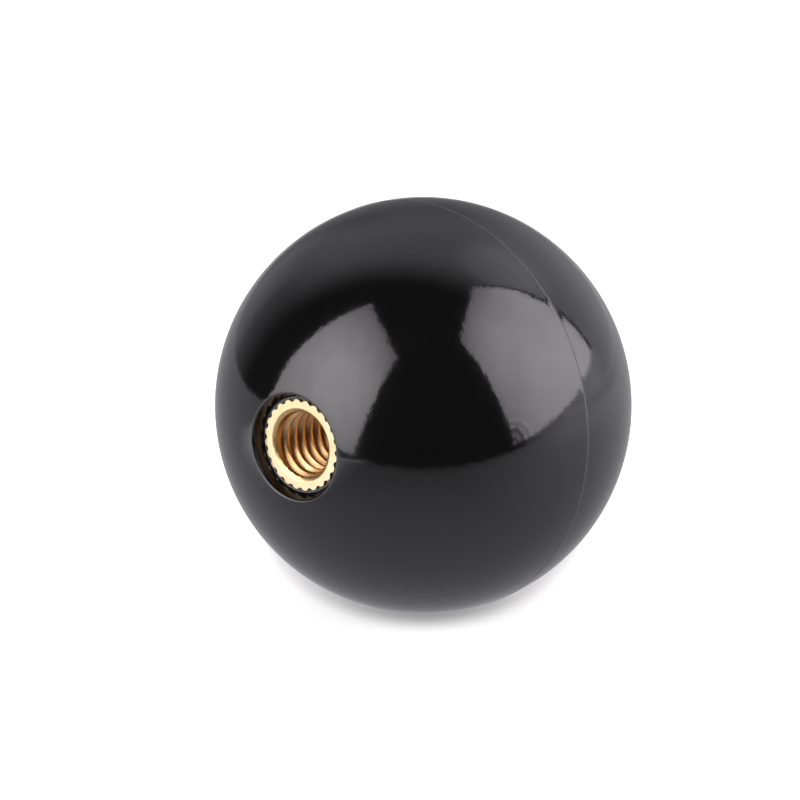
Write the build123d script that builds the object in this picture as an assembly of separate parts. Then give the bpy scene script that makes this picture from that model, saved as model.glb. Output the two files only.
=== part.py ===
from build123d import *
import math
import os

# Ball knob: a glossy moulded plastic ball on a knurled brass insert with an M6 thread.
# Millimetres, +Z up. The thread axis is the Y axis and the mouth faces -Y. The origin is on
# that axis where the full thread begins, at the foot of the insert's countersink.

# Ball
ball_diameter = 35.0
face_depth = 1.5            # from the ball's crown down to the insert's face
recess_diameter = 9.0       # round recess, measured where it meets the ball's surface
recess_draft = 4.0          # degrees, so that the core pin of the mould draws out
rim_radius = 0.2            # rounding of the recess's edge
seam_width = 0.16           # parting line round the middle of the ball
seam_height = 0.03

# Insert
insert_length = 12.5
insert_proud = 0.2          # how far the insert's face stands above the recess's floor
knurl_diameter = 7.76       # over the teeth
knurl_depth = 0.23
knurl_teeth = 24
tip_width = 0.26            # flat on top of each tooth
root_width = 0.20           # flat between two teeth
groove_width = 1.6          # smooth groove that the plastic flows into
groove_depth = 0.35         # below the roots of the teeth
groove_from_face = 5.6      # from the insert's face to the groove
back_chamfer = 0.4          # on the insert's closed end

# Thread, M6: the hole is cut at the thread's minor diameter
minor_diameter = 5.0
countersink_diameter = 6.2
countersink_depth = 0.35    # a shallow one, close to 120 degrees across
bore_depth = 10.0           # from the insert's face to the end of the straight bore
drill_angle = 118.0         # degrees, point of the drill that made the blind hole

# Worked out from the sizes above, along the thread axis from the origin
ball_radius = ball_diameter / 2
recess_radius = recess_diameter / 2
tip_radius = knurl_diameter / 2
root_radius = tip_radius - knurl_depth
bore_radius = minor_diameter / 2
countersink_radius = countersink_diameter / 2
face_y = -countersink_depth
floor_y = face_y + insert_proud
centre_y = face_y - face_depth + ball_radius
rim_y = centre_y - math.sqrt(ball_radius**2 - recess_radius**2)
back_y = face_y + insert_length
bore_end_y = face_y + bore_depth
drill_point = bore_radius / math.tan(math.radians(drill_angle / 2))


def on_ball(angle, radius=ball_radius):
    """Point of the half profile, at an angle in degrees from the plane of the parting line."""
    turn = math.radians(angle)
    return (radius * math.cos(turn), centre_y + radius * math.sin(turn))


def ball_blank():
    """The ball with its recess and its parting line, before the insert's pocket is taken out."""
    seam_angle = math.degrees(seam_width / 2 / ball_radius)
    rim_angle = -math.degrees(math.acos(recess_radius / ball_radius))
    floor_radius = recess_radius - (floor_y - rim_y) * math.tan(math.radians(recess_draft))
    with BuildPart() as blank:
        with BuildSketch(Plane.XY):
            with BuildLine():
                Line((0, floor_y), (floor_radius, floor_y))
                Line((floor_radius, floor_y), on_ball(rim_angle))
                ThreePointArc(on_ball(rim_angle), on_ball(rim_angle / 2), on_ball(-seam_angle))
                Line(on_ball(-seam_angle), on_ball(0, ball_radius + seam_height))
                Line(on_ball(0, ball_radius + seam_height), on_ball(seam_angle))
                ThreePointArc(on_ball(seam_angle), on_ball(45), on_ball(90))
                Line(on_ball(90), (0, floor_y))
            profile = make_face()
            rim = profile.vertices().sort_by_distance(on_ball(rim_angle))[0]
            fillet(rim, rim_radius)
        revolve(axis=Axis.Y)
    return blank.part


def knurl_points():
    """Corners of the knurl's outline, in order, with a gap between two teeth on the Z axis."""
    pitch = 360 / knurl_teeth
    half_tip = math.degrees(tip_width / 2 / tip_radius)
    half_root = math.degrees(root_width / 2 / root_radius)
    points = []
    for tooth in range(knurl_teeth):
        middle = (tooth + 0.5) * pitch
        corners = (
            (middle - pitch / 2 + half_root, root_radius),
            (middle - half_tip, tip_radius),
            (middle + half_tip, tip_radius),
            (middle + pitch / 2 - half_root, root_radius),
        )
        for angle, radius in corners:
            turn = math.radians(angle)
            points.append((radius * math.sin(turn), radius * math.cos(turn)))
    return points


def insert_envelope():
    """Outside of the insert: knurled bar with a groove round it and a chamfered closed end."""
    groove_start = face_y + groove_from_face
    groove_radius = root_radius - groove_depth
    end_radius = tip_radius - back_chamfer
    with BuildPart() as bar:
        with BuildSketch(Plane.XZ.offset(-face_y)):
            with BuildLine():
                Polyline(*knurl_points(), close=True)
            make_face()
        extrude(amount=-insert_length)
        with BuildSketch(Plane.XY):
            with BuildLine():
                Polyline(
                    (0, face_y),
                    (tip_radius, face_y),
                    (tip_radius, groove_start),
                    (groove_radius, groove_start),
                    (groove_radius, groove_start + groove_width),
                    (tip_radius, groove_start + groove_width),
                    (tip_radius, back_y - back_chamfer),
                    (end_radius, back_y),
                    (0, back_y),
                    close=True,
                )
            make_face()
        revolve(axis=Axis.Y, mode=Mode.INTERSECT)
    return bar.part


def thread_hole():
    """Blind hole of the insert: countersink, straight bore and the drill's point."""
    with BuildPart() as hole:
        with BuildSketch(Plane.XY):
            with BuildLine():
                Polyline(
                    (0, face_y),
                    (countersink_radius, face_y),
                    (bore_radius, 0),
                    (bore_radius, bore_end_y),
                    (0, bore_end_y + drill_point),
                    close=True,
                )
            make_face()
        revolve(axis=Axis.Y)
    return hole.part


envelope = insert_envelope()
nodes = {
    "ball": ball_blank() - envelope,
    "threaded_insert": envelope - thread_hole(),
}

os.makedirs("parts", exist_ok=True)
for name, solid in nodes.items():
    export_step(solid, f"parts/{name}.step")
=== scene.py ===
import math

import bpy
from mathutils import Matrix, Vector


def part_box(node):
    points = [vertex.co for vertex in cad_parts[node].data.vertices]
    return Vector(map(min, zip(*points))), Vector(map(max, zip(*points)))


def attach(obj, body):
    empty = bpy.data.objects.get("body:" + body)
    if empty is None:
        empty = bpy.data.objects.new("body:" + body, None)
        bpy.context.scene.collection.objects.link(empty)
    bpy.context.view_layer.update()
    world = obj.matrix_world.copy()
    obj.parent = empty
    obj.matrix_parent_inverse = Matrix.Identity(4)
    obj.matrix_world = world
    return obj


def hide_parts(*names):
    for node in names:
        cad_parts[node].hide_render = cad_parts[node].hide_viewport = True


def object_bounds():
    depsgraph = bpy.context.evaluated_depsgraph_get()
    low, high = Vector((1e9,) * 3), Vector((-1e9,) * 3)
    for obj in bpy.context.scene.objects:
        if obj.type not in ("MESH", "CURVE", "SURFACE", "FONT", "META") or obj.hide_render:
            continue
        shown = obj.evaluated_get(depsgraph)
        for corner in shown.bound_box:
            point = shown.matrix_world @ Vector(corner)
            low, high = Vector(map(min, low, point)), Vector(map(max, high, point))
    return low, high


# Ball knob: a glossy black moulded ball on a knurled brass insert with an M6 thread.
# Metres, in the CAD's frame: the thread axis is Y, the mouth faces -Y and +Z is up.

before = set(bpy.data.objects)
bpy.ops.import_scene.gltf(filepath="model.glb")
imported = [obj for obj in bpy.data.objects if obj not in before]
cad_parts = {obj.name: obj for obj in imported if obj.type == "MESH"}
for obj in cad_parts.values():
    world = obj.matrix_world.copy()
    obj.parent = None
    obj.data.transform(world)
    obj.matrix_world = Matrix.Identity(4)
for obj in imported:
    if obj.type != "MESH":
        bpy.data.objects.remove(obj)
cad_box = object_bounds()
scene = bpy.context.scene

mm = 0.001

# Ball
ball_radius = 17.5 * mm
recess_radius = 4.5 * mm
recess_draft = math.radians(20.0)     # of its wall, which leans in towards the insert
rim_radius = 0.2 * mm
cove_radius = 0.12 * mm               # of the hollow corner at the wall's foot
seam_width = 0.2 * mm
seam_height = 0.020 * mm
seam_wander = 0.06 * mm               # how far the parting line strays from a true circle
ring_step = math.radians(1.25)        # between two rings of the ball's mesh

# Insert
knurl_radius = 3.88 * mm
knurl_teeth = 24
knurl_depth = 0.23 * mm
knurl_turn = math.radians(1.0)        # from +Z towards +X, to the first gap between two teeth
tip_width = 0.26 * mm
root_width = 0.20 * mm
groove_width = 1.6 * mm
groove_depth = 0.35 * mm
groove_from_face = 5.6 * mm
back_chamfer = 0.4 * mm
insert_proud = 0.2 * mm
face_chamfer = 0.03 * mm              # the broken edge that the lathe leaves on the teeth

# Thread, M6 x 1, right-hand
thread_pitch = 1.0 * mm
major_radius = 3.0 * mm
minor_radius = 2.5 * mm
mouth_radius = 3.1 * mm
countersink_depth = 0.35 * mm
bore_depth = 10.0 * mm
drill_angle = math.radians(118.0)
rows_per_turn = 24                    # of the thread's mesh
crest_rows = 5                        # of them on the flat that the drill left
root_rows = 3                         # of them on the flat that the tap cut
lead_radius = 2.84 * mm               # of the first turn's low crest, where it would meet the face
lead_depth = 1.4 * mm                 # where the crest reaches its full height
thread_start = 3.5 / rows_per_turn    # depth in pitches of the first root, straight above the axis

# Mesh
columns_per_tooth = 12
corner_share = 1 / 6                  # of a tooth's columns, on its tip and again between two teeth
floor_steps = 2                       # of the ball's section, along the recess's floor
wall_steps = 3                        # and up its wall
arc_steps = 8                         # round a small corner
half_seam_steps = 6
face_steps = 4                        # of the insert's section, across its face
weld = 0.001 * mm                     # points closer than this become one

# Worked out from the frame and the sizes
face_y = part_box("threaded_insert")[0].y
back_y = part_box("threaded_insert")[1].y
centre = Vector((0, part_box("ball")[1].y - ball_radius, 0))
table_z = cad_box[0][2]
root_radius = knurl_radius - knurl_depth
floor_y = face_y + insert_proud
bore_end_y = face_y + bore_depth
rim_y = centre.y - math.sqrt(ball_radius**2 - recess_radius**2)
floor_radius = recess_radius - (floor_y - rim_y) * math.tan(recess_draft)
drill_point = minor_radius / math.tan(drill_angle / 2)


# Node trees

def feed(tree, socket, value):
    """Gives an input its value: another node's output is linked, and anything else is set."""
    if isinstance(value, bpy.types.NodeSocket):
        tree.links.new(value, socket)
    else:
        socket.default_value = value


def node(tree, kind, *values, out=0, named=None, **settings):
    """Adds a node, feeds its inputs in order (None leaves one as it is) and returns an output."""
    made = tree.nodes.new(kind)
    for setting, value in settings.items():
        setattr(made, setting, value)
    for socket, value in zip(made.inputs, values):
        if value is not None:
            feed(tree, socket, value)
    for name, value in (named or {}).items():
        feed(tree, made.inputs[name], value)
    return made.outputs[out]


def calc(tree, operation, *values):
    return node(tree, "ShaderNodeMath", *values, operation=operation)


def ramp(tree, value, low, high, at_low, at_high, shape="LINEAR"):
    """A value that runs from at_low to at_high while the input runs from low to high."""
    return node(tree, "ShaderNodeMapRange", value, low, high, at_low, at_high,
                interpolation_type=shape)


def split(tree, vector):
    """The three parts of a vector."""
    parts = tree.nodes.new("ShaderNodeSeparateXYZ")
    tree.links.new(vector, parts.inputs[0])
    return parts.outputs


def new_tree(name, sockets):
    """An empty geometry tree for a modifier, with its named inputs."""
    tree = bpy.data.node_groups.new(name, "GeometryNodeTree")
    tree.is_modifier = True
    tree.interface.new_socket("Geometry", in_out="OUTPUT", socket_type="NodeSocketGeometry")
    tree.interface.new_socket("Geometry", in_out="INPUT", socket_type="NodeSocketGeometry")
    for socket_name, kind in sockets:
        tree.interface.new_socket(socket_name, in_out="INPUT", socket_type="NodeSocket" + kind)
    inputs = tree.nodes.new("NodeGroupInput").outputs
    return tree, inputs


def close_tree(tree, geometry, material, sharp_angle):
    """Welds the seams, shades the form smooth between its sharp edges and sets its material."""
    welded = node(tree, "GeometryNodeMergeByDistance", named={"Geometry": geometry, "Distance": weld})
    angle = node(tree, "GeometryNodeInputMeshEdgeAngle")
    soft = node(tree, "FunctionNodeCompare", named={"A": angle, "B": sharp_angle},
                data_type="FLOAT", operation="LESS_THAN")
    smooth = node(tree, "GeometryNodeSetShadeSmooth", named={"Geometry": welded, "Shade Smooth": True},
                  domain="FACE")
    shaded = node(tree, "GeometryNodeSetShadeSmooth", named={"Geometry": smooth, "Shade Smooth": soft},
                  domain="EDGE")
    real = node(tree, "GeometryNodeRealizeInstances", shaded)
    final = node(tree, "GeometryNodeSetMaterial", named={"Geometry": real, "Material": material})
    tree.links.new(final, tree.nodes.new("NodeGroupOutput").inputs[0])


def column_and_row(tree, columns, rows):
    """A flat grid, and each of its points' column and row, counted from nought."""
    across = calc(tree, "ADD", columns, 1)
    grid = node(tree, "GeometryNodeMeshGrid", columns, calc(tree, "SUBTRACT", rows, 1), across, rows)
    x, y, _ = split(tree, node(tree, "GeometryNodeInputPosition"))
    column = calc(tree, "ROUND", calc(tree, "ADD", x, calc(tree, "DIVIDE", columns, 2)))
    half_rows = calc(tree, "DIVIDE", calc(tree, "SUBTRACT", rows, 1), 2)
    row = calc(tree, "ROUND", calc(tree, "ADD", y, half_rows))
    return grid, column, row


knurl_inputs = (("Teeth", "Int"), ("Turn", "Float"), ("Tip Angle", "Float"), ("Root Angle", "Float"),
                ("Root Radius", "Float"), ("Knurl Depth", "Float"))


def knurl_wave(tree, inputs, column):
    """The angle of a column round the axis and how high the knurl stands there, from 0 to 1.

    Columns crowd to the corners of each tooth, and a gap between two teeth is at angle nought."""
    pitch = calc(tree, "DIVIDE", 2 * math.pi, inputs["Teeth"])
    tooth = calc(tree, "FLOOR", calc(tree, "DIVIDE", calc(tree, "ADD", column, 0.5), columns_per_tooth))
    phase = calc(tree, "SUBTRACT", calc(tree, "DIVIDE", column, columns_per_tooth), tooth)
    offset = calc(tree, "SUBTRACT", phase, 0.5)
    share = calc(tree, "MULTIPLY", calc(tree, "ABSOLUTE", offset), 2)
    half_tip = calc(tree, "MULTIPLY", inputs["Tip Angle"], 0.5)
    half_root = calc(tree, "MULTIPLY", inputs["Root Angle"], 0.5)
    half_pitch = calc(tree, "MULTIPLY", pitch, 0.5)
    flank = calc(tree, "SUBTRACT", calc(tree, "SUBTRACT", half_pitch, half_tip), half_root)
    root_from = 1 - corner_share
    spread = calc(tree, "ADD", ramp(tree, share, 0, corner_share, 0, half_tip),
                  calc(tree, "ADD", ramp(tree, share, corner_share, root_from, 0, flank),
                       ramp(tree, share, root_from, 1, 0, half_root)))
    side = calc(tree, "MULTIPLY", calc(tree, "SIGN", offset), spread)
    middle = calc(tree, "MULTIPLY", calc(tree, "ADD", tooth, 0.5), pitch)
    angle = calc(tree, "ADD", middle, side)
    height = ramp(tree, share, corner_share, root_from, 1, 0)
    return angle, height


def on_axis(tree, inputs, radius, angle, y):
    """A point at a radius and an angle round the Y axis, from +Z towards +X, after the knurl's turn."""
    turned = calc(tree, "ADD", angle, inputs["Turn"])
    x = calc(tree, "MULTIPLY", radius, calc(tree, "SINE", turned))
    z = calc(tree, "MULTIPLY", radius, calc(tree, "COSINE", turned))
    return node(tree, "ShaderNodeCombineXYZ", x, y, z)


def turned_bar(tree, inputs):
    """A grid to wrap round the axis on the object's own section, with the knurl cut where asked.

    The section's points are (radius, y, 0), in order. Their attribute toothed is 1 on the rows that
    the knurl's outline limits. Returns the grid and, at each point, the angle, radius, y and row."""
    section = inputs["Geometry"]
    rows = node(tree, "GeometryNodeAttributeDomainSize", section)
    columns = calc(tree, "MULTIPLY", inputs["Teeth"], columns_per_tooth)
    grid, column, row = column_and_row(tree, columns, rows)
    point = from_section(tree, section, row, node(tree, "GeometryNodeInputPosition"), "FLOAT_VECTOR")
    radius, y, _ = split(tree, point)
    toothed = from_section(tree, section, row, attribute(tree, "toothed"), "FLOAT")
    angle, height = knurl_wave(tree, inputs, column)
    outline = calc(tree, "ADD", inputs["Root Radius"], calc(tree, "MULTIPLY", height, inputs["Knurl Depth"]))
    cut_away = calc(tree, "SUBTRACT", radius, calc(tree, "MINIMUM", radius, outline))
    knurled = calc(tree, "SUBTRACT", radius, calc(tree, "MULTIPLY", toothed, cut_away))
    return grid, angle, knurled, y, row


def attribute(tree, name):
    return node(tree, "GeometryNodeInputNamedAttribute", name, data_type="FLOAT")


def from_section(tree, section, row, value, kind):
    """A value read at one row of the section."""
    return node(tree, "GeometryNodeSampleIndex", data_type=kind,
                named={"Geometry": section, "Value": value, "Index": row})


def moulded_ball_form():
    """The ball, turned from its section, with a parting line that strays a little as it goes round."""
    tree, inputs = new_tree("moulded_ball_form", knurl_inputs + (
        ("Seam Wander", "Float"), ("Sharp Angle", "Float"), ("Material", "Material"), ("Seed", "Float")))
    grid, angle, radius, y, row = turned_bar(tree, inputs)
    seam = from_section(tree, inputs["Geometry"], row, attribute(tree, "seam"), "FLOAT")
    around = on_axis(tree, inputs, 1, angle, inputs["Seed"])
    drift = node(tree, "ShaderNodeTexNoise", named={
        "Vector": around, "Scale": 3.0, "Detail": 4.0, "Roughness": 0.6})
    stray = calc(tree, "MULTIPLY", calc(tree, "SUBTRACT", drift, 0.5), inputs["Seam Wander"])
    strayed_y = calc(tree, "ADD", y, calc(tree, "MULTIPLY", seam, stray))
    placed = node(tree, "GeometryNodeSetPosition", named={
        "Geometry": grid, "Position": on_axis(tree, inputs, radius, angle, strayed_y)})
    close_tree(tree, placed, inputs["Material"], inputs["Sharp Angle"])
    return tree


def knurled_insert_form():
    """The insert: its turned and knurled outside, and the thread cut along a helix in its bore."""
    tree, inputs = new_tree("knurled_insert_form", knurl_inputs + (
        ("Pitch", "Float"), ("Major Radius", "Float"), ("Minor Radius", "Float"), ("Mouth Radius", "Float"),
        ("Countersink Depth", "Float"), ("Lead Radius", "Float"), ("Lead Depth", "Float"),
        ("Face", "Float"), ("Bore End", "Float"), ("Drill Point", "Float"),
        ("Crest Share", "Float"), ("Root Share", "Float"), ("Thread Start", "Float"),
        ("Rows per Turn", "Int"), ("Sharp Angle", "Float"), ("Material", "Material")))
    grid, angle, radius, y, _ = turned_bar(tree, inputs)
    outside = node(tree, "GeometryNodeSetPosition", named={
        "Geometry": grid, "Position": on_axis(tree, inputs, radius, angle, y)})
    joined = tree.nodes.new("GeometryNodeJoinGeometry")
    tree.links.new(threaded_bore(tree, inputs), joined.inputs[0])
    tree.links.new(outside, joined.inputs[0])
    close_tree(tree, joined.outputs[0], inputs["Material"], inputs["Sharp Angle"])
    return tree


def threaded_bore(tree, inputs):
    """The bore's wall. Its rows climb with the thread, so that the thread's corners lie along them.

    Rows that start above the face or run past the bore's end are held there, and welded later."""
    pitch, rows_each_turn = inputs["Pitch"], inputs["Rows per Turn"]
    columns = calc(tree, "MULTIPLY", inputs["Teeth"], columns_per_tooth)
    length = calc(tree, "SUBTRACT", inputs["Bore End"], inputs["Face"])
    turns = calc(tree, "ADD", calc(tree, "DIVIDE", length, pitch), 1)
    last_helix_row = calc(tree, "ROUND", calc(tree, "MULTIPLY", turns, rows_each_turn))
    grid, column, row = column_and_row(tree, columns, calc(tree, "ADD", last_helix_row, 2))
    angle, _ = knurl_wave(tree, inputs, column)
    around = calc(tree, "DIVIDE", angle, 2 * math.pi)

    climbed = calc(tree, "ADD", calc(tree, "DIVIDE", row, rows_each_turn), around)
    free_depth = calc(tree, "MULTIPLY", calc(tree, "SUBTRACT", climbed, 1), pitch)
    depth = calc(tree, "MINIMUM", calc(tree, "MAXIMUM", free_depth, 0), length)
    depth_in_turns = calc(tree, "DIVIDE", depth, pitch)
    past_root = calc(tree, "SUBTRACT", calc(tree, "SUBTRACT", depth_in_turns, around), inputs["Thread Start"])
    wrapped = calc(tree, "FRACT", calc(tree, "ADD", past_root, 0.5))
    from_root = calc(tree, "MULTIPLY", calc(tree, "ABSOLUTE", calc(tree, "SUBTRACT", wrapped, 0.5)), 2)
    crest_from = calc(tree, "SUBTRACT", 1, inputs["Crest Share"])
    groove_height = ramp(tree, from_root, inputs["Root Share"], crest_from, 1, 0)
    to_end = calc(tree, "SUBTRACT", length, depth)
    runout = ramp(tree, to_end, 0, pitch, 0, 1)
    thread_height = calc(tree, "SUBTRACT", inputs["Major Radius"], inputs["Minor Radius"])
    groove = calc(tree, "MULTIPLY", calc(tree, "MULTIPLY", groove_height, runout), thread_height)
    threaded = calc(tree, "ADD", inputs["Minor Radius"], groove)
    countersink = ramp(tree, depth, 0, inputs["Countersink Depth"], inputs["Mouth Radius"],
                       inputs["Minor Radius"])
    lead = ramp(tree, depth, 0, inputs["Lead Depth"], inputs["Lead Radius"], inputs["Minor Radius"])
    bore = calc(tree, "MAXIMUM", threaded, calc(tree, "MAXIMUM", countersink, lead))

    at_point = calc(tree, "GREATER_THAN", row, calc(tree, "ADD", last_helix_row, 0.5))
    closed = calc(tree, "MULTIPLY", bore, calc(tree, "SUBTRACT", 1, at_point))
    drilled = calc(tree, "ADD", depth, calc(tree, "MULTIPLY", at_point, inputs["Drill Point"]))
    y = calc(tree, "ADD", inputs["Face"], drilled)
    wall = node(tree, "GeometryNodeSetPosition", named={
        "Geometry": grid, "Position": on_axis(tree, inputs, closed, angle, y)})
    return node(tree, "GeometryNodeFlipFaces", wall)


# Sections

def on_ball(angle, radius=ball_radius):
    """Point of the ball's half section, at an angle from the plane of the parting line."""
    return radius * math.cos(angle), centre.y + radius * math.sin(angle)


def round_corner(middle, radius, first, last):
    """Points of an arc round its middle, from one angle to another."""
    arc = []
    for step in range(arc_steps + 1):
        turn = first + (last - first) * step / arc_steps
        arc.append((middle[0] + radius * math.cos(turn), middle[1] + radius * math.sin(turn)))
    return arc


def rim_arc():
    """Points of the rounded edge from the recess's drafted wall to the ball, and the angle of its end."""
    outward = Vector((math.sin(recess_draft), -math.cos(recess_draft)))
    into_ball = Vector((math.cos(recess_draft), math.sin(recess_draft)))
    beside_rim = Vector((recess_radius, rim_y - centre.y)) + into_ball * rim_radius
    along = beside_rim.dot(outward)
    inner_radius = ball_radius - rim_radius
    back = along - math.sqrt(along**2 - beside_rim.length_squared + inner_radius**2)
    middle = beside_rim - outward * back
    first = recess_draft - math.pi
    last = math.atan2(middle.y, middle.x)
    return round_corner((middle.x, centre.y + middle.y), rim_radius, first, last), last


def cove_arc():
    """Points of the hollow corner from the recess's floor to its drafted wall."""
    middle_radius = floor_radius - cove_radius * (1 - math.sin(recess_draft)) / math.cos(recess_draft)
    middle = (middle_radius, floor_y - cove_radius)
    return round_corner(middle, cove_radius, math.pi / 2, recess_draft)


def between(start, end, steps):
    """Evenly spaced points from just after the start to the end."""
    points = []
    for step in range(1, steps + 1):
        share = step / steps
        points.append((start[0] + (end[0] - start[0]) * share, start[1] + (end[1] - start[1]) * share))
    return points


def plain(points):
    """Rows that the knurl doesn't cut and that lie off the parting line."""
    return [(radius, y, 0, 0) for radius, y in points]


def ball_section():
    """Rows (radius, y, toothed, seam) from the foot of the insert's pocket to the ball's far pole."""
    arc, rim_angle = rim_arc()
    rows = [(0, back_y, 0, 0)]
    rows += bar_rows()[::-1]
    cove = cove_arc()
    rows += plain(between((knurl_radius, floor_y), cove[0], floor_steps))
    rows += plain(cove[1:])
    rows += plain(between(cove[-1], arc[0], wall_steps))
    rows += plain(arc[1:])
    half_seam = seam_width / 2 / ball_radius
    near_span = -half_seam - rim_angle
    near_steps = round(near_span / ring_step)
    for step in range(1, near_steps):
        rows.append((*on_ball(rim_angle + near_span * step / near_steps), 0, 0))
    for step in range(-half_seam_steps, half_seam_steps + 1):
        ridge = seam_height * (1 + math.cos(math.pi * step / half_seam_steps)) / 2
        rows.append((*on_ball(half_seam * step / half_seam_steps, ball_radius + ridge), 0, 1))
    far_span = math.pi / 2 - half_seam
    far_steps = round(far_span / ring_step)
    for step in range(1, far_steps):
        rows.append((*on_ball(half_seam + far_span * step / far_steps), 0, 0))
    rows.append((0, centre.y + ball_radius, 0, 0))
    return rows


def bar_rows():
    """Rows of the knurled bar below the recess's floor, which the pocket and the insert share."""
    groove_start = face_y + groove_from_face
    groove_radius = root_radius - groove_depth
    end_radius = knurl_radius - back_chamfer
    return [
        (knurl_radius, floor_y, 1, 0),
        (knurl_radius, groove_start, 1, 0),
        (groove_radius, groove_start, 0, 0),
        (groove_radius, groove_start + groove_width, 0, 0),
        (knurl_radius, groove_start + groove_width, 1, 0),
        (knurl_radius, back_y - back_chamfer, 1, 0),
        (root_radius, back_y - back_chamfer + knurl_depth, 1, 0),
        (end_radius, back_y, 0, 0),
    ]


def insert_section():
    """Rows from the edge of the countersink out over the face, down the knurl and to the back."""
    face_edge = root_radius - face_chamfer
    rows = [(mouth_radius, face_y, 0, 0)]
    rows += plain(between((mouth_radius, face_y), (face_edge, face_y), face_steps))
    rows.append((knurl_radius - face_chamfer, face_y, 1, 0))
    rows.append((knurl_radius, face_y + face_chamfer, 1, 0))
    rows += bar_rows()
    rows.append((0, back_y, 0, 0))
    return rows


def section_object(name, rows):
    """The section as an object: a chain of points with the attributes that the trees read."""
    mesh = bpy.data.meshes.new(name)
    chain = [(index, index + 1) for index in range(len(rows) - 1)]
    mesh.from_pydata([(radius, y, 0) for radius, y, _, _ in rows], chain, [])
    for column, attribute_name in ((2, "toothed"), (3, "seam")):
        values = mesh.attributes.new(attribute_name, "FLOAT", "POINT")
        values.data.foreach_set("value", [row[column] for row in rows])
    piece = bpy.data.objects.new(name, mesh)
    scene.collection.objects.link(piece)
    return piece


def grow(piece, tree, values):
    """Runs a tree on the piece with its named inputs, and keeps the plain mesh that it gives."""
    modifier = piece.modifiers.new(tree.name, "NODES")
    modifier.node_group = tree
    sockets = {item.name: item.identifier for item in tree.interface.items_tree if item.in_out == "INPUT"}
    for socket_name, value in values.items():
        modifier[sockets[socket_name]] = value
    graph = bpy.context.evaluated_depsgraph_get()
    mesh = bpy.data.meshes.new_from_object(piece.evaluated_get(graph), depsgraph=graph)
    piece.modifiers.clear()
    piece.data = mesh
    mesh.name = piece.name
    return piece


# Finishes

noise_low = 0.3                       # most of a noise's values lie between these two
noise_high = 0.7

# A pair of shades or of roughnesses is what a noise runs between. A pair of places is where a
# change starts and ends.

# Black phenolic
phenolic_shades = ((0.0036, 0.0036, 0.0037), (0.0048, 0.0047, 0.0049))
phenolic_roughness = (0.075, 0.105)
phenolic_ior = 1.7
# Painted shade: a darker black inside the recess
recess_painted_shade = (0.0030, 0.0029, 0.0030)
recess_roughness = 0.06               # on top of the ball's own
recess_edge = (recess_radius - 0.03 * mm, recess_radius)    # off the axis
recess_end = (floor_y + 1 * mm, floor_y + 1.1 * mm)         # along it, past the floor
buffed_shade = (0.0420, 0.0414, 0.0432)
buffed_roughness = (0.42, 0.56)
buffed_edge = (0.05 * mm, 0.13 * mm)  # from the parting line
nick_size = 1.3 * mm                  # of the places where the flash came off wider
nick_levels = (0.60, 0.68)            # of the noise that puts them there
nick_reach = 0.08 * mm
stray_size = 5 * mm                   # of the buffed line's drift to either side
haze_size = 4.5 * mm
scuff_size = 0.8 * mm                 # of the buffed line's uneven places
sink_size = 7 * mm                    # the broad waviness of the moulded surface
sink_depth = 0.020 * mm
peel_size = 0.55 * mm                 # the fine one
peel_depth = 0.0055 * mm
polish_size = 0.6 * mm                # of the polishing rings round the axis
polish_depth = 0.0012 * mm
polish_patch_size = 6 * mm            # of the places where they are faint or plain
polish_patch_levels = (0.45, 0.6)
polish_strength = (0.3, 1)

# Turned brass
outside_shades = ((0.90, 0.76, 0.47), (0.86, 0.69, 0.39))
tapped_shades = ((0.98, 0.69, 0.36), (0.90, 0.54, 0.23))
root_painted_shade = (0.62, 0.38, 0.19)       # painted shade, darker down in the thread's roots
root_edge = (2.7 * mm, 2.95 * mm)     # off the axis
# Painted shade: a darker brass on the countersink
countersink_painted_shade = (0.80, 0.57, 0.26)
countersink_edge = (face_y + 0.24 * mm, face_y + 0.34 * mm)
brass_roughness = (0.24, 0.34)
bore_roughness = (0.02, 0.06)         # on top of it, in the countersink and below
bore_roughness_edge = (face_y + 0.25 * mm, face_y + 0.4 * mm)
bore_edge = (mouth_radius - 0.01 * mm, mouth_radius)
tapped_edge = (mouth_radius - 0.1 * mm, mouth_radius - 0.05 * mm)
glancing_tint = (1.0, 0.86, 0.62, 1)
cloud_size = 1.1 * mm
cloud_levels = (0.35, 0.65)
tool_line_size = 0.11 * mm
tool_line_depth = 0.003 * mm
tapped_line_depth = 0.006 * mm        # more of it, inside the bore
torn_size = 0.28 * mm                 # where the tap tore the metal
torn_depth = 0.009 * mm


def shader_tree(name):
    material = bpy.data.materials.new(name)
    material.use_nodes = True
    tree = material.node_tree
    tree.nodes.clear()
    return material, tree


def object_place(tree):
    """Object coordinates, and the distance from the thread axis and the y there."""
    place = node(tree, "ShaderNodeTexCoord", out=3)
    x, y, z = split(tree, place)
    squares = calc(tree, "ADD", calc(tree, "MULTIPLY", x, x), calc(tree, "MULTIPLY", z, z))
    return place, calc(tree, "SQRT", squares), y


def noise(tree, place, size, detail):
    """Noise whose lumps are about this size."""
    return node(tree, "ShaderNodeTexNoise", named={"Vector": place, "Scale": 1 / size, "Detail": detail})


def over_noise(tree, lumps, span):
    """A value that runs from one end of a span to the other over most of a noise's range."""
    return ramp(tree, lumps, noise_low, noise_high, *span)


def bump(tree, height, depth, under=None):
    """Relief of a given depth, on top of another if one is given."""
    named = {"Strength": 1.0, "Distance": depth, "Height": height}
    if under is not None:
        named["Normal"] = under
    return node(tree, "ShaderNodeBump", named=named)


def blend(tree, share, first, second):
    """A colour between two, each a tuple or another node's colour."""
    colours = []
    for colour in (first, second):
        colours.append((*colour, 1) if isinstance(colour, tuple) else colour)
    return node(tree, "ShaderNodeMix", data_type="RGBA", out=2,
                named={"Factor": share, "A": colours[0], "B": colours[1]})


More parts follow.
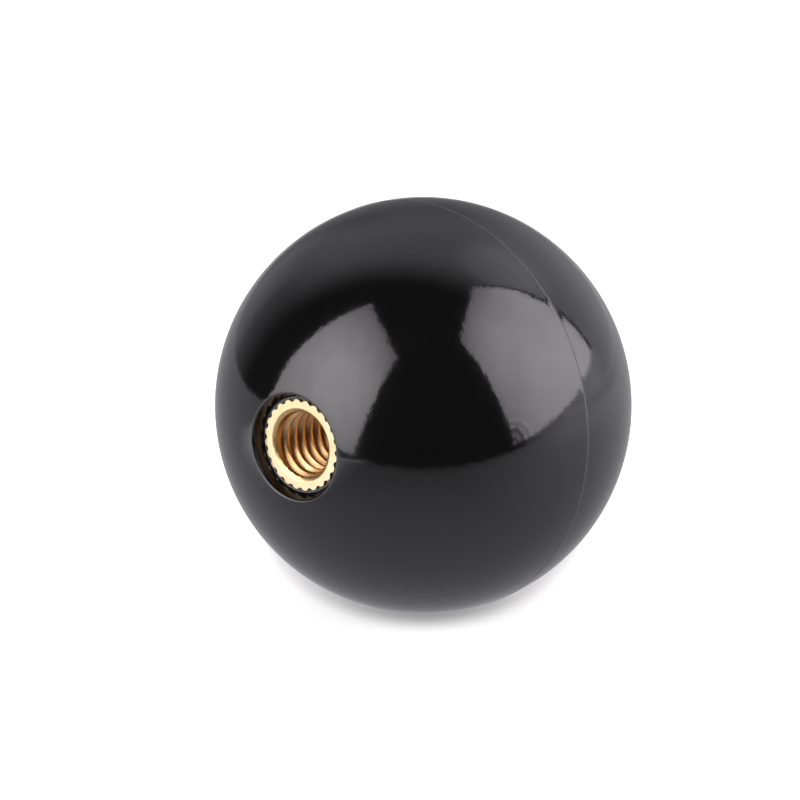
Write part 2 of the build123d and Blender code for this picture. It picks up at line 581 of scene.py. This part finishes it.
def finish_material(tree, colour, roughness, normal, **constants):
    """A Principled surface: linked colour, roughness and normal, and every constant set on its own socket."""
    surface = tree.nodes.new("ShaderNodeBsdfPrincipled")
    feed(tree, surface.inputs["Base Color"], colour)
    feed(tree, surface.inputs["Roughness"], roughness)
    feed(tree, surface.inputs["Normal"], normal)
    for socket_name, value in constants.items():
        surface.inputs[socket_name].default_value = value
    tree.links.new(surface.outputs[0], tree.nodes.new("ShaderNodeOutputMaterial").inputs[0])


def black_phenolic():
    """Compression-moulded phenolic: near black, high gloss, duller where the flash was buffed off, and
    painted shade, a darker black, in the recess.
    """
    material, tree = shader_tree("black_phenolic")
    place, off_axis, y = object_place(tree)
    rings = noise(tree, node(tree, "ShaderNodeCombineXYZ", off_axis, y, 0), polish_size, detail=1.0)
    patches = noise(tree, place, polish_patch_size, detail=1.0)
    strength = ramp(tree, patches, *polish_patch_levels, *polish_strength)
    relief = bump(tree, noise(tree, place, sink_size, detail=1.0), sink_depth)
    relief = bump(tree, noise(tree, place, peel_size, detail=2.0), peel_depth, relief)
    relief = bump(tree, calc(tree, "MULTIPLY", rings, strength), polish_depth, relief)

    drift = calc(tree, "SUBTRACT", noise(tree, place, stray_size, detail=3.0), 0.5)
    stray = calc(tree, "MULTIPLY", drift, seam_wander)
    past_middle = calc(tree, "SUBTRACT", y, centre.y)
    from_seam = calc(tree, "ABSOLUTE", calc(tree, "SUBTRACT", past_middle, stray))
    nicks = ramp(tree, noise(tree, place, nick_size, detail=2.0), *nick_levels, 0, nick_reach)
    buffed = ramp(tree, calc(tree, "SUBTRACT", from_seam, nicks), *buffed_edge, 1, 0, "SMOOTHSTEP")
    haze = noise(tree, place, haze_size, detail=3.0)
    gloss = over_noise(tree, haze, phenolic_roughness)
    scuffed = over_noise(tree, noise(tree, place, scuff_size, detail=2.0), buffed_roughness)
    duller = calc(tree, "MULTIPLY", buffed, calc(tree, "SUBTRACT", scuffed, gloss))
    in_recess = calc(tree, "MULTIPLY", ramp(tree, off_axis, *recess_edge, 1, 0),
                     ramp(tree, y, *recess_end, 1, 0))
    roughness = calc(tree, "ADD", calc(tree, "ADD", gloss, duller),
                     calc(tree, "MULTIPLY", in_recess, recess_roughness))
    shade = blend(tree, haze, *phenolic_shades)
    shade = blend(tree, buffed, shade, buffed_shade)
    # painted shade: the recess gets a darker black than the rest of the ball
    shade = blend(tree, in_recess, shade, recess_painted_shade)
    finish_material(tree, shade, roughness, relief, IOR=phenolic_ior)
    return material


def turned_brass():
    """Bright turned brass: fine tool rings round the axis, a redder tone down in the tapped bore, and painted
    shade in the thread's roots and on the countersink.
    """
    material, tree = shader_tree("turned_brass")
    place, off_axis, y = object_place(tree)
    tool_lines = noise(tree, node(tree, "ShaderNodeCombineXYZ", off_axis, y, 0), tool_line_size, detail=3.0)
    tapped_part = ramp(tree, off_axis, *tapped_edge, 1, 0)
    relief = bump(tree, tool_lines, tool_line_depth)
    relief = bump(tree, calc(tree, "MULTIPLY", tool_lines, tapped_part), tapped_line_depth, relief)
    torn = calc(tree, "MULTIPLY", noise(tree, place, torn_size, detail=3.0), tapped_part)
    relief = bump(tree, torn, torn_depth, relief)

    patches = noise(tree, place, cloud_size, detail=3.0)
    cloud = ramp(tree, patches, *cloud_levels, 0, 1)
    in_bore = ramp(tree, off_axis, *bore_edge, 1, 0)
    tapped = blend(tree, cloud, *tapped_shades)
    # painted shade: a darker brass in the thread's roots
    tapped = blend(tree, ramp(tree, off_axis, *root_edge, 0, 1), tapped, root_painted_shade)
    # painted shade: a darker brass on the countersink
    tapped = blend(tree, ramp(tree, y, *countersink_edge, 1, 0), tapped, countersink_painted_shade)
    shade = blend(tree, in_bore, blend(tree, cloud, *outside_shades), tapped)
    rougher = ramp(tree, y, *bore_roughness_edge, *bore_roughness)
    roughness = calc(tree, "ADD", over_noise(tree, patches, brass_roughness),
                     calc(tree, "MULTIPLY", in_bore, rougher))
    finish_material(tree, shade, roughness, relief, Metallic=1.0, **{"Specular Tint": glancing_tint})
    return material


# Pieces

ball_crease = math.radians(30)        # edges sharper than this stay sharp
insert_crease = math.radians(35)
wander_seed = 3.0

knurl_sizes = {
    "Teeth": knurl_teeth, "Turn": knurl_turn, "Tip Angle": tip_width / knurl_radius,
    "Root Angle": root_width / root_radius, "Root Radius": root_radius, "Knurl Depth": knurl_depth}

ball = grow(section_object("moulded_ball", ball_section()), moulded_ball_form(), {
    **knurl_sizes, "Seam Wander": seam_wander, "Sharp Angle": ball_crease,
    "Material": black_phenolic(), "Seed": wander_seed})
insert = grow(section_object("knurled_insert", insert_section()), knurled_insert_form(), {
    **knurl_sizes, "Pitch": thread_pitch, "Major Radius": major_radius, "Minor Radius": minor_radius,
    "Mouth Radius": mouth_radius, "Countersink Depth": countersink_depth,
    "Lead Radius": lead_radius, "Lead Depth": lead_depth,
    "Face": face_y, "Bore End": bore_end_y, "Drill Point": drill_point,
    "Crest Share": crest_rows / rows_per_turn, "Root Share": root_rows / rows_per_turn,
    "Thread Start": thread_start, "Rows per Turn": rows_per_turn,
    "Sharp Angle": insert_crease, "Material": turned_brass()})

for piece, node_name in ((ball, "ball"), (insert, "threaded_insert")):
    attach(piece, "root")
    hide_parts(node_name)


# Stage. Azimuths and elevations are in degrees, from the ball: azimuth 0 is -Y and 90 is +X.

# Camera
camera_azimuth = 39.07
camera_elevation = 15.3
camera_distance = 600 * mm
lens = 321.5                          # millimetres, like the sensor's width
sensor = 36.0
ball_pixel = (423.3, 405.2)           # where the ball's centre falls in a frame of 800 by 800
frame_size = 800

# Softboxes
softbox_tint = (1.0, 0.95, 0.99)
full_reach = 0.2                      # of a softbox's glow, where it begins to fall
edge_reach = 1.3
edge_glow = 0.35
cloth_size = 80 * mm                  # of the uneven places in a softbox's cloth
cloth_glow = (0.93, 1.04)
frame_width = 26 * mm                 # of the black edge that shows beside the right softbox
frame_black = (0.01, 0.01, 0.01, 1)
fold_step = 36 * mm                   # between two folds of the cloth that is gathered round a corner
fold_height = 0.9
fold_fade = (70 * mm, 140 * mm)       # from the corner
doubled_glow = 0.45                   # where the cloth lies double, next to the corner
doubled_fade = (70 * mm, 95 * mm)

# Board. In gloss its light and shade are painted by place.
gloss_tint = (1.0, 0.99, 1.05)        # of the room and the board in gloss
board_level = 0.48                    # the board's radiance in gloss, beside the ball
board_heading = 40                    # the side where its near edge is
board_near = 66 * mm
board_far = 900 * mm                  # from the ball to its other edges
board_paint = 0.8                     # share of the light that it scatters
grain_size = 25 * mm
grain_levels = (0.98, 1.0)
slopes = (                            # azimuth, where a slope starts and ends, its rise, its shape
    (115, 200 * mm, 600 * mm, 0.20, "LINEAR"),
    (35, 12 * mm, 58 * mm, -0.22, "SMOOTHSTEP"),
    (40, 54 * mm, 66 * mm, -0.12, "SMOOTHSTEP"),
)
side_slope = (122, 20 * mm, 130 * mm, 0.44, "LINEAR")
side_fade = (60 * mm, 200 * mm)       # of the side slope, towards the back
side_fade_azimuth = -145
side_left = 0.45                      # of it past the fade
front_azimuth = -31.5                 # of the painted patch of light in front
front_distance = 90 * mm
front_fade = (35 * mm, 60 * mm)
front_rise = 0.95
edge_azimuth = 8.5                    # of the edge past which the board is painted dark
edge_distance = 73.6 * mm
edge_softness = 1 * mm
edge_dark = 0.85
edge_highlight_fade = (0.6 * mm, 1.8 * mm)
edge_highlight_rise = 1.7                  # of the painted highlight along the edge
along_edge_azimuth = 130
edge_start = (-70 * mm, -58 * mm)     # along the edge
edge_highlight_end = (-38 * mm, -33 * mm)
painted_shade_middle = 34 * mm                # from the ball's foot to the middle of the painted shade, away from the camera
painted_shade_squash = 0.38                   # of distances from there, towards the camera and away
painted_shade_edge = (14 * mm, 16 * mm)
lift_in_shade = 0.25                  # radiance that is added for the camera alone
lift_outside = 0.38                   # more of it outside the painted shade, so that the board is white there

# Room, in radiance
room_dark = 0.008                     # inside the opening, in gloss
room_fill = 0.4                       # what lights the dull surfaces
opening = (26, -16.3)                 # azimuth and elevation of the dark opening's middle
opening_edge = (-0.16, -0.58)         # cosines from there, where the walls start and are full
upper_wall_rise = (0.35, 0.85)        # sines of the height where the wall's radiance changes
upper_wall_levels = (0.22, 0.50)
side_walls = (                        # azimuth, elevation, cosines where a glow starts and is full, radiance
    (155, 3, 0.45, 0.95, 0.45),
    (128, 0, 0.78, 0.95, 0.40),
    (160, 52, 0.92, 0.99, 0.28),
)
across_strip = -20                    # azimuth at right angles to an upright strip of light
strip_edge = (0.10, 0.28)             # cosines from there
strip_radiance = 0.14
strip_azimuth = -110                  # of its brightest part
strip_end = (0.6, 0.95)


def direction(azimuth, elevation=0):
    """A unit vector from the ball."""
    turn = math.radians(azimuth)
    rise = math.radians(elevation)
    level = math.cos(rise)
    return Vector((level * math.sin(turn), -level * math.cos(turn), math.sin(rise)))


def reach(tree, vector, heading):
    """How far a vector goes in a direction."""
    return node(tree, "ShaderNodeVectorMath", vector, tuple(heading), out=1, operation="DOT_PRODUCT")


def distance(tree, place, target):
    return node(tree, "ShaderNodeVectorMath", place, tuple(target), out=1, operation="DISTANCE")


def flat_length(tree, x, y):
    """The length of a flat vector with these two parts."""
    flat = node(tree, "ShaderNodeCombineXYZ", x, y, 0)
    return node(tree, "ShaderNodeVectorMath", flat, out=1, operation="LENGTH")


def ray_kinds(tree):
    """Whether a ray comes from the camera, and whether it comes by gloss or through glass."""
    path = tree.nodes.new("ShaderNodeLightPath").outputs
    return path["Is Camera Ray"], calc(tree, "MAXIMUM", path["Is Glossy Ray"], path["Is Transmission Ray"])


def place_camera():
    data = bpy.data.cameras.new("camera")
    data.lens = lens
    data.sensor_width = sensor
    data.clip_start = 10 * mm
    data.shift_x = (frame_size / 2 - ball_pixel[0]) / frame_size
    data.shift_y = (ball_pixel[1] - frame_size / 2) / frame_size
    camera = bpy.data.objects.new("camera", data)
    scene.collection.objects.link(camera)
    toward = direction(camera_azimuth, camera_elevation)
    camera.location = centre + toward * camera_distance
    camera.rotation_euler = (-toward).to_track_quat("-Z", "Y").to_euler()
    scene.camera = camera


def gathered_corner(tree, corner):
    """The share of light that comes through the cloth where it is drawn up in folds round a corner."""
    away = distance(tree, node(tree, "ShaderNodeNewGeometry"), corner)
    waves = calc(tree, "SINE", calc(tree, "MULTIPLY", away, 2 * math.pi / fold_step))
    waves = calc(tree, "MULTIPLY", waves, ramp(tree, away, *fold_fade, fold_height, 0))
    doubled = ramp(tree, away, *doubled_fade, doubled_glow, 1, "SMOOTHSTEP")
    return calc(tree, "MULTIPLY", doubled, calc(tree, "ADD", 1, waves))


def softbox(name, middle, across, up, width, height, radiance, hot_spot, glow_reach, gathered=False):
    """A rectangular softbox that faces the ball, brightest at its hot spot and dimmer away from it.

    The middle is measured from the ball's centre, and the hot spot from the middle, across and up.
    The glow falls to edge_glow of its height at edge_reach times its reach across and up."""
    across = across.normalized()
    facing = across.cross(up).normalized()
    if facing.dot(middle) < 0:
        across = -across
        facing = -facing
    up = facing.cross(across)
    data = bpy.data.lights.new(name, "AREA")
    data.shape = "RECTANGLE"
    data.size = width
    data.size_y = height
    data.energy = radiance * math.pi * width * height
    lamp = bpy.data.objects.new(name, data)
    scene.collection.objects.link(lamp)
    turn = Matrix((across, up, facing)).transposed()
    lamp.matrix_world = Matrix.Translation(centre + middle) @ turn.to_4x4()
    lamp.visible_camera = False

    data.use_nodes = True
    tree = data.node_tree
    tree.nodes.clear()
    place = node(tree, "ShaderNodeNewGeometry")
    brightest = centre + middle + across * hot_spot[0] + up * hot_spot[1]
    away = node(tree, "ShaderNodeVectorMath", place, tuple(brightest), operation="SUBTRACT")
    share = flat_length(tree, reach(tree, away, across / glow_reach[0]),
                        reach(tree, away, up / glow_reach[1]))
    uneven = over_noise(tree, noise(tree, place, cloth_size, detail=3.0), cloth_glow)
    glow = calc(tree, "MULTIPLY", ramp(tree, share, full_reach, edge_reach, 1, edge_glow), uneven)
    if gathered:
        corner = centre + middle - across * width / 2 - up * height / 2
        glow = calc(tree, "MULTIPLY", glow, gathered_corner(tree, corner))
    light = node(tree, "ShaderNodeEmission", (*softbox_tint, 1), glow)
    tree.links.new(light, tree.nodes.new("ShaderNodeOutputLight").inputs[0])
    return middle, across, up


def stage_sheet(name, corners, material):
    """A flat sheet of the stage through four corners."""
    mesh = bpy.data.meshes.new(name)
    mesh.from_pydata(corners, [], [(0, 1, 2, 3)])
    mesh.materials.append(material)
    sheet = bpy.data.objects.new(name, mesh)
    scene.collection.objects.link(sheet)
    return sheet


def softbox_frame(name, middle, across, up, width, height):
    """The black frame that shows along one edge of a softbox, on its across side."""
    material, tree = shader_tree(name)
    dull = node(tree, "ShaderNodeBsdfDiffuse", frame_black)
    tree.links.new(dull, tree.nodes.new("ShaderNodeOutputMaterial").inputs[0])
    corners = []
    for aside, rise in ((0, -1), (frame_width, -1), (frame_width, 1), (0, 1)):
        corners.append(centre + middle + across * (width / 2 + aside) + up * rise * height / 2)
    frame_bar = stage_sheet(name, corners, material)
    frame_bar.visible_camera = False
    frame_bar.visible_shadow = False


def board_in_gloss(tree, place):
    """The board's radiance in gloss, painted by place: lower towards the dark side of the room, with a
    painted patch of light in front, a painted dark band past an edge and a painted highlight along it.
    """
    def toward(azimuth):
        """How far a place lies from the ball in one direction."""
        return reach(tree, place, direction(azimuth))

    def slope(azimuth, start, end, rise, shape):
        return ramp(tree, toward(azimuth), start, end, 0, rise, shape)

    side = calc(tree, "MULTIPLY", slope(*side_slope),
                ramp(tree, toward(side_fade_azimuth), *side_fade, 1, side_left))
    level = calc(tree, "ADD", board_level, side)
    for numbers in slopes:
        level = calc(tree, "ADD", level, slope(*numbers))
    # painted light: a bright patch in front
    from_front = distance(tree, place, direction(front_azimuth) * front_distance)
    level = calc(tree, "ADD", level, ramp(tree, from_front, *front_fade, front_rise, 0, "SMOOTHSTEP"))

    # painted shade past an edge, and a painted highlight along it
    past_edge = calc(tree, "SUBTRACT", toward(edge_azimuth), edge_distance)
    along_edge = toward(along_edge_azimuth)
    has_edge = ramp(tree, along_edge, *edge_start, 0, 1)
    dark = calc(tree, "MULTIPLY", ramp(tree, past_edge, 0, edge_softness, 0, edge_dark), has_edge)
    level = calc(tree, "MULTIPLY", level, calc(tree, "SUBTRACT", 1, dark))
    line = ramp(tree, calc(tree, "ABSOLUTE", past_edge), *edge_highlight_fade, edge_highlight_rise, 0)
    line = calc(tree, "MULTIPLY", line, ramp(tree, along_edge, *edge_highlight_end, 1, 0))
    return calc(tree, "ADD", level, calc(tree, "MULTIPLY", line, has_edge))


def board_lift(tree, place):
    """What makes the board white to the camera, and less so in a painted shade round the ball's foot."""
    aside = reach(tree, place, direction(camera_azimuth + 90))
    ahead = calc(tree, "ADD", reach(tree, place, direction(camera_azimuth)), painted_shade_middle)
    from_painted_shade = flat_length(tree, aside, calc(tree, "MULTIPLY", ahead, painted_shade_squash))
    # painted shade: less lift inside an ellipse round the ball's foot, so the board is darker there
    return calc(tree, "ADD", lift_in_shade,
                ramp(tree, from_painted_shade, *painted_shade_edge, 0, lift_outside, "SMOOTHSTEP"))


def white_board():
    """The pale board under the ball: white to the camera, with the ball's own shadow on it and a painted
    shade round it.

    Gloss and glass see it at a level of its own, with painted light and shade."""
    material, tree = shader_tree("white_board")
    camera_sees, gloss_sees = ray_kinds(tree)
    place = node(tree, "ShaderNodeVectorMath", node(tree, "ShaderNodeTexCoord", out=3),
                 (centre.x, centre.y, table_z), operation="SUBTRACT")
    grain = over_noise(tree, noise(tree, place, grain_size, detail=2.0), grain_levels)
    unseen_in_gloss = calc(tree, "MULTIPLY", board_paint, calc(tree, "SUBTRACT", 1, gloss_sees))
    level = calc(tree, "MULTIPLY", unseen_in_gloss, grain)
    paint = node(tree, "ShaderNodeBsdfDiffuse", node(tree, "ShaderNodeCombineXYZ", level, level, level))
    lifted = calc(tree, "ADD", calc(tree, "MULTIPLY", camera_sees, board_lift(tree, place)),
                  calc(tree, "MULTIPLY", gloss_sees, board_in_gloss(tree, place)))
    lift = node(tree, "ShaderNodeEmission", blend(tree, gloss_sees, (1.0, 1.0, 1.0), gloss_tint), lifted)
    both = node(tree, "ShaderNodeAddShader", paint, lift)
    tree.links.new(both, tree.nodes.new("ShaderNodeOutputMaterial").inputs[0])

    front = direction(board_heading)
    side = direction(board_heading + 90)
    corners = []
    for along, across in ((board_near, board_far), (board_near, -board_far),
                          (-board_far, -board_far), (-board_far, board_far)):
        corner = centre + front * along + side * across
        corners.append((corner.x, corner.y, table_z))
    stage_sheet("board", corners, material)


def studio_room():
    """Surroundings: white behind the object, and pale walls with a dark opening round the camera."""
    world = bpy.data.worlds.new("studio")
    scene.world = world
    world.use_nodes = True
    tree = world.node_tree
    tree.nodes.clear()
    camera_sees, gloss_sees = ray_kinds(tree)
    heading = node(tree, "ShaderNodeTexCoord", out=0)

    def facing(azimuth, elevation=0):
        """The cosine of the angle from a direction."""
        return reach(tree, heading, direction(azimuth, elevation))

    past_opening = ramp(tree, facing(*opening), *opening_edge, 0, 1, "SMOOTHSTEP")
    height = split(tree, heading)[2]
    upper_wall = ramp(tree, height, *upper_wall_rise, *upper_wall_levels, "SMOOTHSTEP")
    in_gloss = calc(tree, "ADD", room_dark, calc(tree, "MULTIPLY", past_opening, upper_wall))
    for azimuth, elevation, start, full, radiance in side_walls:
        glow = ramp(tree, facing(azimuth, elevation), start, full, 0, radiance, "SMOOTHSTEP")
        in_gloss = calc(tree, "ADD", in_gloss, glow)
    off_strip = calc(tree, "ABSOLUTE", facing(across_strip))
    strip = ramp(tree, off_strip, *strip_edge, strip_radiance, 0, "SMOOTHSTEP")
    strip = calc(tree, "MULTIPLY", strip, ramp(tree, facing(strip_azimuth), *strip_end, 0, 1))
    in_gloss = calc(tree, "ADD", in_gloss, strip)
    unseen = calc(tree, "SUBTRACT", calc(tree, "SUBTRACT", 1, camera_sees), gloss_sees)
    strength = calc(tree, "ADD", camera_sees, calc(tree, "ADD", calc(tree, "MULTIPLY", gloss_sees, in_gloss),
                    calc(tree, "MULTIPLY", unseen, room_fill)))
    tint = blend(tree, gloss_sees, (1.0, 1.0, 1.0), gloss_tint)
    light = node(tree, "ShaderNodeBackground", tint, strength)
    tree.links.new(light, tree.nodes.new("ShaderNodeOutputWorld").inputs[0])


place_camera()
studio_room()
white_board()
softbox("left_softbox", middle=Vector((-68, -449, 277)) * mm, across=Vector((0.772, -0.568, -0.285)),
        up=Vector((0.310, -0.055, 0.949)), width=508 * mm, height=720 * mm, radiance=3.45,
        hot_spot=(-5 * mm, -90 * mm), glow_reach=(360 * mm, 355 * mm))
right_size = {"width": 620 * mm, "height": 934 * mm}
right_place = softbox("right_softbox", middle=Vector((434, 106, 448)) * mm,
                      across=Vector((-0.531, 0.796, 0.289)), up=Vector((0.117, -0.268, 0.957)),
                      radiance=3.05, hot_spot=(-30 * mm, -110 * mm), glow_reach=(400 * mm, 500 * mm),
                      gathered=True, **right_size)
softbox_frame("right_softbox_frame", *right_place, **right_size)

scene.view_settings.view_transform = "Standard"
